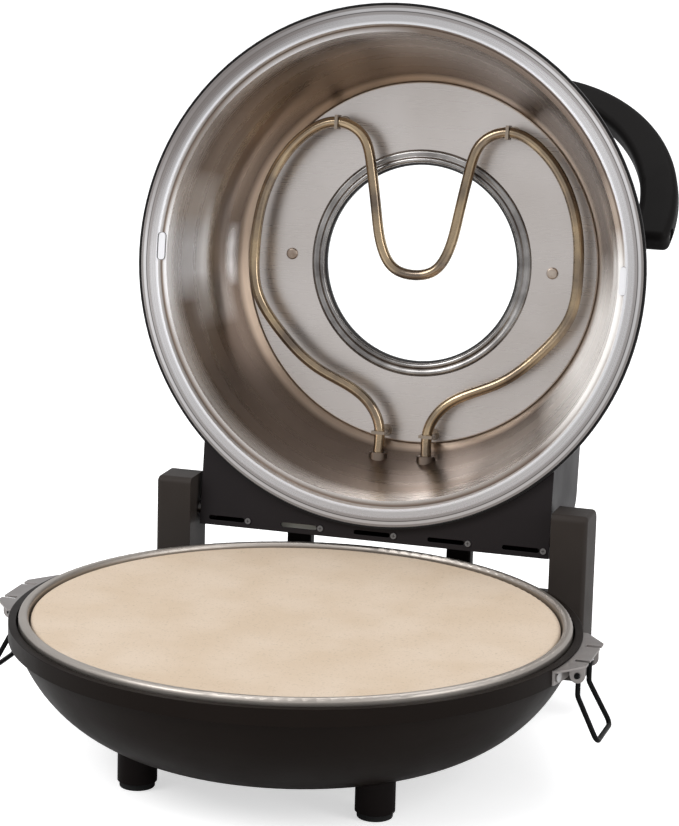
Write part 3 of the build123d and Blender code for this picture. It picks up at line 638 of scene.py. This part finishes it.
class Look:
    """The finishes of the whole machine."""

    SHELL = Finish(
        "black enamel", (0.0075, 0.007, 0.007), 0.36, second=(0.0105, 0.0098, 0.0098),
        grain=Grain.PEEL, relief=0.00004, edge=0.0004, specular=0.12,
    )
    BOWL = Finish(
        "black bowl paint", (0.0078, 0.0053, 0.0041), 0.42, second=(0.0096, 0.0067, 0.0053),
        grain=Grain.PEEL, relief=0.00004, edge=0.0006, specular=0.05,
    )
    LINER = Finish(
        # The dark brown base is partly the steel's tone and partly painted reflection of dark
        # surroundings.
        "spun steel with painted light", (0.225, 0.178, 0.146), 0.27, 1.0, second=(0.165, 0.126, 0.102),
        patch=0.11, drift=0.7, grain=Grain.SPUN, relief=0.000006, anisotropy=0.7,
        turning=LID_TURNING,
        # Painted highlights and painted reflections: lighter and darker sectors laid on the wall
        # and rim as colour; the whitest also scatter.
        painted_light_fans=(  # angle, spread, colour, share, inner, outer, scatter
            PaintedLightFan(235.0, 115.0, (0.78, 0.75, 0.73), 0.88, 0.1435, 0.1500),
            PaintedLightFan(128.0, 52.0, (0.34, 0.275, 0.225), 0.85, 0.1225, 0.1440),
            PaintedLightFan(150.0, 24.0, (0.60, 0.49, 0.40), 0.75, 0.1260, 0.1370),
            PaintedLightFan(115.0, 30.0, (0.85, 0.83, 0.82), 0.85, 0.1445, 0.1505),
            PaintedLightFan(140.0, 40.0, (0.20, 0.176, 0.166), 0.82, 0.1535, 0.1645),
            PaintedLightFan(178.0, 24.0, (0.52, 0.48, 0.46), 0.85, 0.1275, 0.1350),
            PaintedLightFan(45.0, 22.0, (0.150, 0.110, 0.086), 0.6, 0.1220, 0.1490),
            PaintedLightFan(212.0, 22.0, (0.200, 0.162, 0.138), 0.6, 0.1220, 0.1435),
            PaintedLightFan(-70.0, 27.0, (0.095, 0.076, 0.064), 0.8, 0.1220, 0.1420),
            PaintedLightFan(310.0, 15.0, (0.150, 0.125, 0.105), 0.7, 0.1220, 0.1440),
            PaintedLightFan(167.0, 9.0, (0.60, 0.55, 0.51), 0.7, 0.1335, 0.1500),
            PaintedLightFan(181.0, 10.0, (0.95, 0.95, 0.97), 0.94, 0.1225, 0.1290, 0.6),
            PaintedLightFan(182.0, 12.0, (0.72, 0.72, 0.74), 0.88, 0.1335, 0.1500, 0.1),
            PaintedLightFan(182.0, 17.0, (0.97, 0.97, 0.98), 0.94, 0.1340, 0.1385, 0.6),
            PaintedLightFan(183.0, 20.0, (0.98, 0.98, 0.98), 0.94, 0.1450, 0.1500, 0.7),
            PaintedLightFan(194.0, 8.0, (0.40, 0.37, 0.35), 0.7, 0.1250, 0.1420),
            PaintedLightFan(14.0, 13.0, (0.50, 0.41, 0.335), 0.75, 0.1300, 0.1520),
            PaintedLightFan(-19.0, 27.0, (0.98, 0.96, 0.93), 0.98, 0.1190, 0.1520, 0.95),
            PaintedLightFan(-2.0, 16.0, (0.98, 0.97, 0.95), 0.97, 0.1335, 0.1520, 0.95),
        ),
        rings=(  # inner, outer, low, high, colour, share, soft
            # painted reflection of the plate on the wall, near the plate's edge
            Ring(0.1160, 0.1232, 0.060, 0.090, (0.66, 0.55, 0.45), 0.85, 0.0025),
            # the rim band: lighter painted reflection, a painted highlight line at its inner edge,
            # and darker painted reflection with a thin dark line towards the outer lip
            Ring(0.1505, 0.170, -0.001, 0.0022, (0.55, 0.54, 0.545), 0.94),
            Ring(0.1508, 0.1540, -0.001, 0.002, (0.86, 0.86, 0.88), 0.85, 0.0010),
            Ring(0.1572, 0.1600, -0.001, 0.002, (0.26, 0.235, 0.225), 0.7, 0.0010),
            Ring(0.1592, 0.1602, -0.001, 0.002, (0.09, 0.082, 0.078), 0.85, 0.0003),
            Ring(0.1616, 0.170, -0.001, 0.002, (0.22, 0.20, 0.19), 0.85, 0.0005),
        ),
    )
    PLATE = Finish(
        "brushed plate", (0.56, 0.522, 0.498), 0.28, 1.0, second=(0.44, 0.40, 0.37), patch=0.07,
        grain=Grain.LINEAR, relief=0.0000006, anisotropy=0.1,
    )
    TRIM = Finish(
        "window trim steel", (0.34, 0.328, 0.32), 0.22, 1.0, second=(0.13, 0.122, 0.118),
        patch=0.02, drift=0.95, grain=Grain.SPUN, relief=0.000005, anisotropy=0.6,
        turning=LID_TURNING, slot="plate_steel",
    )
    RING = Finish(
        "tray rim steel", (0.42, 0.385, 0.35), 0.42, 1.0, second=(0.32, 0.29, 0.26), patch=0.05,
    )
    HEATER = Finish(
        "heat-tinted sheath", (0.42, 0.32, 0.205), 0.18, 1.0, second=(0.15, 0.12, 0.097),
        patch=0.028, drift=0.95, grain=Grain.PEEL, relief=0.000006,
    )
    ZINC = Finish(
        "zinc steel", (0.29, 0.27, 0.26), 0.4, 1.0, second=(0.23, 0.21, 0.20), patch=0.01,
        grain=Grain.PEEL, relief=0.00001, edge=0.0003,
    )
    CLIP = Finish(
        "tinted clips", (0.30, 0.25, 0.20), 0.36, 1.0, second=(0.20, 0.165, 0.14), patch=0.01,
        grain=Grain.PEEL, relief=0.00001,
    )
    RIVET = Finish(
        "rivet steel", (0.44, 0.375, 0.32), 0.32, 1.0, second=(0.24, 0.18, 0.14), patch=0.006,
        drift=0.9, grain=Grain.PEEL, relief=0.00001, edge=0.0003,
    )
    INSERT = Finish("bright catch plate", (0.78, 0.78, 0.80), 0.4, 0.4, slot="zinc_steel")
    SCREW = Finish("steel screws", (0.40, 0.39, 0.385), 0.3, 1.0, edge=0.0003)
    PANEL_SCREW = Finish("panel screws", (0.17, 0.17, 0.175), 0.34, 1.0)
    RECESS = Finish("screw recess", (0.01, 0.01, 0.01), 0.6, slot="screw_steel")
    GLASS = Finish("window glass", (0.97, 0.985, 0.98), 0.0, transmission=1.0)
    DARK_RING = Finish("dark window ring", (0.035, 0.034, 0.034), 0.4, 0.6, edge=0.0003)
    SILICONE = Finish("silicone", (0.02, 0.02, 0.02), 0.7)
    PILLAR = Finish(
        "grey-black plastic", (0.030, 0.0245, 0.0215), 0.5, second=(0.037, 0.031, 0.0275),
        grain=Grain.MOULDED, relief=0.00003, edge=0.0006, specular=0.1,
    )
    PANEL = Finish(
        "black panel", (0.0150, 0.0127, 0.0135), 0.42, second=(0.0180, 0.0155, 0.0165),
        grain=Grain.PEEL, relief=0.00003, edge=0.0004, specular=0.1,
    )
    HANDLE = Finish(
        "handle plastic", (0.0068, 0.0060, 0.0058), 0.46, second=(0.0085, 0.0077, 0.0074),
        grain=Grain.MOULDED, relief=0.00003, specular=0.05,
    )
    FEET = Finish(
        "foot plastic", (0.0065, 0.0046, 0.0043), 0.5, second=(0.0085, 0.0062, 0.0058),
        grain=Grain.MOULDED, relief=0.00003, edge=0.0006, specular=0.06,
    )
    RUBBER = Finish("rubber", (0.010, 0.010, 0.010), 0.75, specular=0.2)
    STONE = Finish(
        "cordierite stone", (0.555, 0.440, 0.325), 0.85, second=(0.61, 0.505, 0.40), patch=0.04,
        drift=0.8, grain=Grain.STONE, relief=0.00012, edge=0.0008,
    )
    CERAMIC = Finish("dark bush ceramic", (0.16, 0.14, 0.125), 0.5, grain=Grain.PEEL)
    BUSH = Finish(
        "brown bush steel", (0.20, 0.16, 0.13), 0.35, 1.0, second=(0.15, 0.115, 0.095),
        patch=0.01,
    )
    BLOCK = Finish("terminal block", (0.62, 0.60, 0.52), 0.5)
    WIRE = Finish("black wire", (0.005, 0.005, 0.005), 0.35, specular=0.06)


DRESS: dict[str, Finish] = {}


def dress(finish: Finish, *nodes: str) -> None:
    """Notes which finish the CAD nodes take.

    Args:
        finish: the finish.
        nodes: the nodes' names.
    """
    DRESS.update(dict.fromkeys(nodes, finish))


dress(Look.SHELL, "lid_shell", "handle_mounts")
dress(Look.BOWL, "base_bowl")
dress(Look.LINER, "lid_liner")
dress(Look.PLATE, "reflector_plate")
dress(Look.RING, "base_liner")
dress(Look.HEATER, "upper_heater", "lower_heater")
dress(Look.ZINC, "latch_catches", "left_side_bracket", "right_side_bracket",
      "thermostat", "thermal_fuse")
dress(Look.CLIP, "upper_heater_supports", "lower_heater_supports")
dress(Look.RIVET, "liner_rivets")
dress(Look.PANEL_SCREW, "vent_panel_screws")
dress(Look.SCREW, "bezel_screws", "handle_screws", "bottom_cover_screws",
      "rear_cover_screws", "hinge_pins", "bracket_rivets")
dress(Look.GLASS, "window_glass")
dress(Look.DARK_RING, "window_inner_ring", "window_outer_ring")
dress(Look.SILICONE, "window_gasket")
dress(Look.PILLAR, "left_pillar", "right_pillar", "rear_housing")
dress(Look.PANEL, "hinge_housing", "vent_panel", "bottom_cover", "rear_cover")
dress(Look.HANDLE, "lid_handle")
dress(Look.FEET, "base_feet", "stop_posts", "cord_inlet")
dress(Look.RUBBER, "foot_pads")
dress(Look.STONE, "pizza_stone")
dress(Look.BUSH, "upper_heater_bushes")
dress(Look.CERAMIC, "lower_heater_bushes")
dress(Look.BLOCK, "terminal_block", "lid_terminal_block")
dress(Look.WIRE, "left_bail", "right_bail")


@dataclass
class ScrewRecesses:
    """Cross recesses in the heads of one body's screws.

    Args:
        name: the piece's name.
        body: the CAD body that they ride on.
        seats: each head's centre and outward direction.
        arm: the cross's half length.
        width: an arm's width.
        thickness: the cross's thickness.
    """

    name: str
    body: str
    seats: list[Seat]
    arm: float = 0.0015
    width: float = 0.0006
    thickness: float = 0.0001

    def cross(self) -> bpy.types.Object:
        """One recess, lying in the XY plane.

        Returns:
            The recess as an object outside the scene.
        """
        shape = bmesh.new()
        bar = Matrix.Diagonal((2 * self.arm, self.width, self.thickness, 1.0))
        for turn in (0.0, RIGHT_ANGLE):
            made = bmesh.ops.create_cube(shape, size=1.0)
            turned = Matrix.Rotation(turn, 4, "Z") @ bar
            bmesh.ops.transform(shape, matrix=turned, verts=made["verts"])
        mesh = bpy.data.meshes.new(self.name + "_cross")
        shape.to_mesh(mesh)
        shape.free()
        return bpy.data.objects.new(self.name + "_cross", mesh)

    def points(self) -> bpy.types.Object:
        """A mesh with one vertex a seat, and its turn in an attribute.

        Returns:
            The carrier of the node tree.
        """
        mesh = bpy.data.meshes.new(self.name)
        mesh.from_pydata([seat for seat, _ in self.seats], [], [])
        turns = mesh.attributes.new("facing", "FLOAT_VECTOR", "POINT")
        for index, (_, facing) in enumerate(self.seats):
            turns.data[index].vector = facing.to_track_quat("Z", "X").to_euler()
        carrier = bpy.data.objects.new(self.name, mesh)
        bpy.context.scene.collection.objects.link(carrier)
        return carrier

    def mesh(self, workshop: Workshop) -> bpy.types.Object:
        """Instances the recess on every seat and makes it one plain mesh.

        Args:
            workshop: where the material comes from.

        Returns:
            The finished piece, riding on its body.
        """
        cross = self.cross()
        carrier = self.points()
        tree = bpy.data.node_groups.new(self.name, "GeometryNodeTree")
        for way in ("INPUT", "OUTPUT"):
            tree.interface.new_socket("Geometry", in_out=way, socket_type="NodeSocketGeometry")
        add = tree.nodes.new
        start, end = add("NodeGroupInput"), add("NodeGroupOutput")
        info = add("GeometryNodeObjectInfo")
        info.inputs["Object"].default_value = cross
        facing = add("GeometryNodeInputNamedAttribute")
        facing.data_type = "FLOAT_VECTOR"
        facing.inputs["Name"].default_value = "facing"
        spread = add("GeometryNodeInstanceOnPoints")
        real = add("GeometryNodeRealizeInstances")
        paint = add("GeometryNodeSetMaterial")
        paint.inputs["Material"].default_value = workshop.material(Look.RECESS)
        link = tree.links.new
        link(start.outputs[0], spread.inputs["Points"])
        link(info.outputs["Geometry"], spread.inputs["Instance"])
        link(facing.outputs["Attribute"], spread.inputs["Rotation"])
        link(spread.outputs["Instances"], real.inputs["Geometry"])
        link(real.outputs["Geometry"], paint.inputs["Geometry"])
        link(paint.outputs["Geometry"], end.inputs[0])
        modifier = carrier.modifiers.new("recesses", "NODES")
        modifier.node_group = tree
        graph = bpy.context.evaluated_depsgraph_get()
        plain = bpy.data.meshes.new_from_object(carrier.evaluated_get(graph))
        carrier.modifiers.clear()
        carrier.data = plain
        bpy.data.objects.remove(cross)
        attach(carrier, self.body)
        return carrier


def place_mesh(
    name: str,
    shape: bmesh.types.BMesh,
    body: str,
    finish: Finish,
    workshop: Workshop,
    smooth: bool = True,
) -> bpy.types.Object:
    """Turns a finished shape into a piece that rides on a body.

    Args:
        name: the piece's name.
        shape: its mesh, in the row frame, which is used up.
        body: the CAD body.
        finish: the piece's finish.
        workshop: where the material comes from.
        smooth: whether its faces are shaded smooth.

    Returns:
        The piece.
    """
    bmesh.ops.recalc_face_normals(shape, faces=shape.faces)
    mesh = bpy.data.meshes.new(name)
    shape.to_mesh(mesh)
    shape.free()
    for polygon in mesh.polygons:
        polygon.use_smooth = smooth
    piece = bpy.data.objects.new(name, mesh)
    bpy.context.scene.collection.objects.link(piece)
    mesh.materials.append(workshop.material(finish))
    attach(piece, body)
    return piece


def join_rows(
    shape: bmesh.types.BMesh, row: list[bmesh.types.BMVert], after: list[bmesh.types.BMVert]
) -> None:
    """Joins two closed rows of vertices with a belt of faces.

    Args:
        shape: the mesh that they are in.
        row: the first row.
        after: the second row, as long as the first.
    """
    for index in range(len(row)):
        following = (index + 1) % len(row)
        shape.faces.new((row[index], row[following], after[following], after[index]))


@dataclass
class LidTurned:
    """A ring turned round the lid's axis from a closed outline.

    Args:
        name: the piece's name.
        outline: radius and height pairs.
        steps: the number of steps round the axis.
    """

    name: str
    outline: tuple[tuple[float, float], ...]
    steps: int = 192

    def mesh(self, finish: Finish, workshop: Workshop) -> bpy.types.Object:
        """Turns the outline.

        Args:
            finish: the ring's finish.
            workshop: where the material comes from.

        Returns:
            The ring, riding on the lid.
        """
        shape = bmesh.new()
        rows = []
        for step in range(self.steps):
            turn = 2 * math.pi * step / self.steps
            rows.append([
                shape.verts.new(LID.point(radius * math.cos(turn), radius * math.sin(turn), height))
                for radius, height in self.outline
            ])
        for row, after in zip(rows, rows[1:] + rows[:1]):
            join_rows(shape, row, after)
        return place_mesh(self.name, shape, "lid", finish, workshop)


@dataclass
class CatchPlates:
    """The bright plates that fill the two slots of the rim band.

    Args:
        reach: the plates' distance from the lid's middle.
        ahead: how far in front of the lid's middle they sit.
        half_width: half a plate's width.
        half_length: half a plate's length.
        face: the plates' face above the rim plane.
        thickness: a plate's thickness.
        corner_share: the corners' radius, as a share of the half width.
        corner_steps: the number of steps round a corner.
    """

    reach: float = 150.4 * MM
    ahead: float = 3.0 * MM
    half_width: float = 2.2 * MM
    half_length: float = 8.7 * MM
    face: float = 0.9 * MM
    thickness: float = 1.2 * MM
    corner_share: float = 0.9
    corner_steps: int = 5

    def outline(self) -> list[tuple[float, float]]:
        """A plate's outline round its own middle.

        Returns:
            The outline's points.
        """
        radius = self.half_width * self.corner_share
        points = []
        for corner, (right, back) in enumerate(((1, 1), (-1, 1), (-1, -1), (1, -1))):
            for step in range(self.corner_steps + 1):
                turn = corner * RIGHT_ANGLE + step / self.corner_steps * RIGHT_ANGLE
                points.append((
                    right * (self.half_width - radius) + radius * math.cos(turn),
                    back * (self.half_length - radius) + radius * math.sin(turn),
                ))
        return points

    def mesh(self, workshop: Workshop) -> bpy.types.Object:
        """Makes both plates as one piece with rounded corners.

        Args:
            workshop: where the material comes from.

        Returns:
            The piece, riding on the lid.
        """
        shape = bmesh.new()
        outline = self.outline()
        for side in (-1, 1):
            bottom, top = (
                [
                    shape.verts.new(LID.point(side * self.reach + x, y - self.ahead, height))
                    for x, y in outline
                ]
                for height in (self.face, self.face + self.thickness)
            )
            join_rows(shape, bottom, top)
            shape.faces.new(bottom)
            shape.faces.new(reversed(top))
        return place_mesh("catch_plates", shape, "lid", Look.INSERT, workshop, smooth=False)


@dataclass
class Lid:
    """The lid's added pieces: its window trim, its catch plates and the recesses of its bezel and
    panel screws.

    Args:
        bezel_head: the bezel screws' heads above the rim plane.
        bezel_screw_circle: the radius of the circle they stand on.
        bezel_first: the first bezel screw's turn, in degrees.
        panel_head: the panel screws' heads above the rim plane.
        slot_back: how far the vent slots are behind the lid's middle.
        slot_pitch: the distance from slot to slot.
        slots_aside: the number of slots on each side of the middle one.
        slot_half: half a slot's length.
        screw_reach: how far a panel screw is from its slot's end.
        panel_arm: half the length of a panel screw's recess.
        panel_width: the width of its arms.
        trim_outline: the window trim's radius and height pairs, in millimetres.
    """

    bezel_head: float = 97.5 * MM
    bezel_screw_circle: float = 80.8 * MM
    bezel_first: float = 45
    panel_head: float = 3.0 * MM
    slot_back: float = 168.8 * MM
    slot_pitch: float = 48.5 * MM
    slots_aside: int = 2
    slot_half: float = 12 * MM
    screw_reach: float = 2.6 * MM
    panel_arm: float = 0.0011
    panel_width: float = 0.0004
    trim_outline: tuple[tuple[float, float], ...] = (
        (65.6, 83.9), (65.6, 82.3), (66.0, 81.6), (66.8, 81.2), (67.8, 81.2),
        (68.6, 81.6), (69.2, 82.2), (69.8, 82.4), (70.5, 82.1), (71.3, 81.8),
        (72.2, 81.8), (73.0, 82.1), (73.7, 82.6), (74.1, 83.0),
    )

    def bezel_seats(self) -> list[Seat]:
        """The bezel screws' heads.

        Returns:
            Their seats.
        """
        turns = [math.radians(self.bezel_first + 90 * quarter) for quarter in range(4)]
        circle = self.bezel_screw_circle
        return [
            (LID.point(circle * math.cos(turn), circle * math.sin(turn), self.bezel_head), LID.axis)
            for turn in turns
        ]

    def panel_seats(self) -> list[Seat]:
        """The vent panel screws' heads, one beside each slot's right end.

        Returns:
            Their seats.
        """
        return [
            (
                LID.point(step * self.slot_pitch + self.slot_half + self.screw_reach,
                          self.slot_back, self.panel_head),
                -LID.axis,
            )
            for step in range(-self.slots_aside, self.slots_aside + 1)
        ]

    def mesh(self, workshop: Workshop) -> None:
        """Adds the lid's pieces that the CAD lacks.

        Args:
            workshop: where the materials come from.
        """
        trim = tuple((radius * MM, height * MM) for radius, height in self.trim_outline)
        LidTurned("window_trim", trim).mesh(Look.TRIM, workshop)
        CatchPlates().mesh(workshop)
        ScrewRecesses("bezel_recesses", "lid", self.bezel_seats()).mesh(workshop)
        ScrewRecesses(
            "panel_recesses", "lid", self.panel_seats(), self.panel_arm, self.panel_width
        ).mesh(workshop)


@dataclass
class Base:
    """The base's added pieces: the recesses of its rear cover and bottom cover screws.

    Args:
        deck_back: how far the rear cover is behind the bowl's middle.
        deck_middle: the height of the rear cover's middle.
        head_rise: how far the screws' heads stand out from it.
        screw_half_width: half the distance between its screws across.
        screw_half_height: half the distance between its screws upward.
        cover_bottom: the height of the bottom cover's screw heads.
        cover_screw_circle: the radius of the circle they stand on.
    """

    deck_back: float = 186 * MM
    deck_middle: float = 49 * MM
    head_rise: float = 0.4 * MM
    screw_half_width: float = 111 * MM
    screw_half_height: float = 13 * MM
    cover_bottom: float = 15.9 * MM
    cover_screw_circle: float = 84 * MM

    def rear_seats(self) -> list[Seat]:
        """The rear cover screws' heads.

        Returns:
            Their seats.
        """
        behind = BOWL_Y + self.deck_back + self.head_rise
        return [
            (Vector((x, behind, self.deck_middle + z)), Vector((0.0, 1.0, 0.0)))
            for x in (-self.screw_half_width, self.screw_half_width)
            for z in (-self.screw_half_height, self.screw_half_height)
        ]

    def under_seats(self) -> list[Seat]:
        """The bottom cover screws' heads.

        Returns:
            Their seats.
        """
        circle = self.cover_screw_circle
        seats = []
        for quarter in range(4):
            turn = quarter * RIGHT_ANGLE
            x, y = circle * math.cos(turn), BOWL_Y + circle * math.sin(turn)
            seats.append((Vector((x, y, self.cover_bottom)), Vector((0.0, 0.0, -1.0))))
        return seats

    def mesh(self, workshop: Workshop) -> None:
        """Adds the base's pieces that the CAD lacks.

        Args:
            workshop: where the materials come from.
        """
        seats = self.rear_seats() + self.under_seats()
        ScrewRecesses("base_recesses", "base", seats).mesh(workshop)


@dataclass(frozen=True)
class Softbox:
    """A rectangular area light aimed at a point.

    Args:
        name: the light's name.
        place: where it hangs.
        aim: the point that it is aimed at.
        size: its width and height.
        power: its power in watts.
    """

    name: str
    place: tuple[float, float, float]
    aim: tuple[float, float, float]
    size: tuple[float, float]
    power: float

    def hang(self) -> None:
        """Adds the light to the scene."""
        data = bpy.data.lights.new(self.name, "AREA")
        data.shape = "RECTANGLE"
        data.size, data.size_y = self.size
        data.energy = self.power
        lamp = bpy.data.objects.new(self.name, data)
        lamp.location = self.place
        beam = Vector(self.aim) - Vector(self.place)
        lamp.rotation_euler = beam.to_track_quat("-Z", "Y").to_euler()
        bpy.context.scene.collection.objects.link(lamp)


@dataclass
class Studio:
    """Floor, surround, lights and camera.

    Args:
        eye: the camera's place, measured from the bowl's middle on the floor.
        azimuth: the view's turn to the object's right, in degrees.
        elevation: the view's fall, in degrees.
        roll: the camera's turn about its view, in degrees.
        focal_pixels: the focal length in pixels of the photograph's height.
        height_pixels: the photograph's height in pixels.
        sight: how far the camera sees.
        surround: the light that comes from all round.
        mirrored: the surround as glossy surfaces show it.
        backdrop: the surround as the camera sees it.
        floor_reach: half a side of the floor.
        floor_grey: the floor's colour.
        floor_roughness: the floor's roughness.
        floor_specular: the strength of its plain reflection.
        floor_glow: how far it shines by itself where the camera sees it.
        boxes: the lights.
    """

    eye: tuple[float, float, float] = (0.5096, -1.6324, 0.5980)
    azimuth: float = 16.59
    elevation: float = 12.70
    roll: float = 1.49
    focal_pixels: float = 3036.2
    height_pixels: int = 826
    sight: float = 30.0
    surround: Colour = (0.62, 0.62, 0.63)
    mirrored: Colour = (0.80, 0.80, 0.81)
    backdrop: Colour = (1.0, 1.0, 1.0)
    floor_reach: float = 6.0
    floor_grey: Colour = (0.90, 0.90, 0.90)
    floor_roughness: float = 0.9
    floor_specular: float = 0.1
    floor_glow: float = 0.58
    boxes: tuple[Softbox, ...] = (
        Softbox("key", (-1.3, -1.7, 1.9), (0.0, 0.0, 0.22), (1.3, 1.3), 34.0),
        Softbox("side", (2.0, -0.7, 1.1), (0.0, 0.0, 0.2), (0.7, 1.6), 16.0),
        Softbox("top", (0.0, 0.3, 2.4), (0.0, 0.0, 0.1), (1.8, 1.2), 18.0),
    )

    def build(self) -> None:
        """Sets up everything that isn't part of the machine."""
        self._world()
        self._floor()
        for box in self.boxes:
            box.hang()
        self._camera()

    def _world(self) -> None:
        """Surrounds the machine with even light."""
        world = bpy.data.worlds.new("surround")
        world.use_nodes = True
        bpy.context.scene.world = world
        tree = Tree(world.node_tree)
        background = world.node_tree.nodes["Background"]
        seen = self._straight(tree)
        path = tree.add("ShaderNodeLightPath")
        plain = tree.mix(path.outputs["Is Glossy Ray"], self.surround, self.mirrored)
        tree.feed(tree.mix(seen, plain, self.backdrop), background.inputs["Color"])
        background.inputs["Strength"].default_value = 1.0

    def _straight(self, tree: Tree) -> Socket:
        """Tells what the camera sees, directly or through the window.

        Args:
            tree: the nodes of the world or the floor.

        Returns:
            The socket, 1 for such rays and 0 for others.
        """
        rays = tree.add("ShaderNodeLightPath").outputs
        return tree.math("MAXIMUM", rays["Is Camera Ray"], rays["Is Transmission Ray"])

    def _floor(self) -> None:
        """Lays a pale floor that fades into the backdrop."""
        mesh = bpy.data.meshes.new("floor")
        reach = self.floor_reach
        corners = [(-reach, -reach, 0), (reach, -reach, 0), (reach, reach, 0), (-reach, reach, 0)]
        mesh.from_pydata(corners, [], [(0, 1, 2, 3)])
        floor = bpy.data.objects.new("floor", mesh)
        bpy.context.scene.collection.objects.link(floor)
        made = bpy.data.materials.new("pale floor")
        made.use_nodes = True
        tree = Tree(made.node_tree)
        shader = made.node_tree.nodes["Principled BSDF"]
        shader.inputs["Base Color"].default_value = (*self.floor_grey, 1.0)
        shader.inputs["Roughness"].default_value = self.floor_roughness
        shader.inputs["Specular IOR Level"].default_value = self.floor_specular
        glow = tree.add("ShaderNodeEmission", Color=(1.0, 1.0, 1.0, 1.0))
        strength = tree.math("MULTIPLY", self._straight(tree), self.floor_glow)
        tree.feed(strength, glow.inputs["Strength"])
        both = tree.add("ShaderNodeAddShader")
        tree.feed(shader.outputs[0], both.inputs[0])
        tree.feed(glow.outputs[0], both.inputs[1])
        tree.feed(both.outputs[0], made.node_tree.nodes["Material Output"].inputs["Surface"])
        mesh.materials.append(made)

    def _camera(self) -> None:
        """Places the camera that was fitted to the photograph."""
        turn, fall = math.radians(self.azimuth), math.radians(self.elevation)
        roll = math.radians(self.roll)
        ahead = Vector(
            (-math.sin(turn) * math.cos(fall), math.cos(turn) * math.cos(fall), -math.sin(fall))
        )
        right = Vector((math.cos(turn), math.sin(turn), 0.0))
        up = right.cross(ahead)
        right, up = (
            right * math.cos(roll) + up * math.sin(roll),
            up * math.cos(roll) - right * math.sin(roll),
        )
        data = bpy.data.cameras.new("camera")
        data.lens = self.focal_pixels / self.height_pixels * data.sensor_width
        data.clip_end = self.sight
        camera = bpy.data.objects.new("camera", data)
        place = Vector(self.eye) + Vector((0.0, BOWL_Y, 0.0))
        axes = Matrix((right, up, -ahead)).transposed()
        camera.matrix_world = Matrix.Translation(place) @ axes.to_4x4()
        bpy.context.scene.collection.objects.link(camera)
        bpy.context.scene.camera = camera


class PizzaMaker:
    """The whole machine."""

    def __init__(self) -> None:
        self.workshop = Workshop()
        self.lid = Lid()
        self.base = Base()

    def mesh(self) -> None:
        """Makes the pieces that the CAD lacks."""
        self.lid.mesh(self.workshop)
        self.base.mesh(self.workshop)

    def dress(self) -> None:
        """Gives every CAD node its procedural material."""
        for name, node in frame["nodes"].items():
            finish = DRESS[name]
            node.data.materials.clear()
            node.data.materials.append(self.workshop.material(finish))
            log.info("%s: %s", name, finish.name)


def main() -> None:
    """Builds the machine's looks and the studio round it."""
    logging.basicConfig(level=logging.INFO)
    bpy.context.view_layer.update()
    machine = PizzaMaker()
    machine.mesh()
    machine.dress()
    Studio().build()
    scene = bpy.context.scene
    scene.view_settings.view_transform = "Standard"


if __name__ == "__main__":
    main()
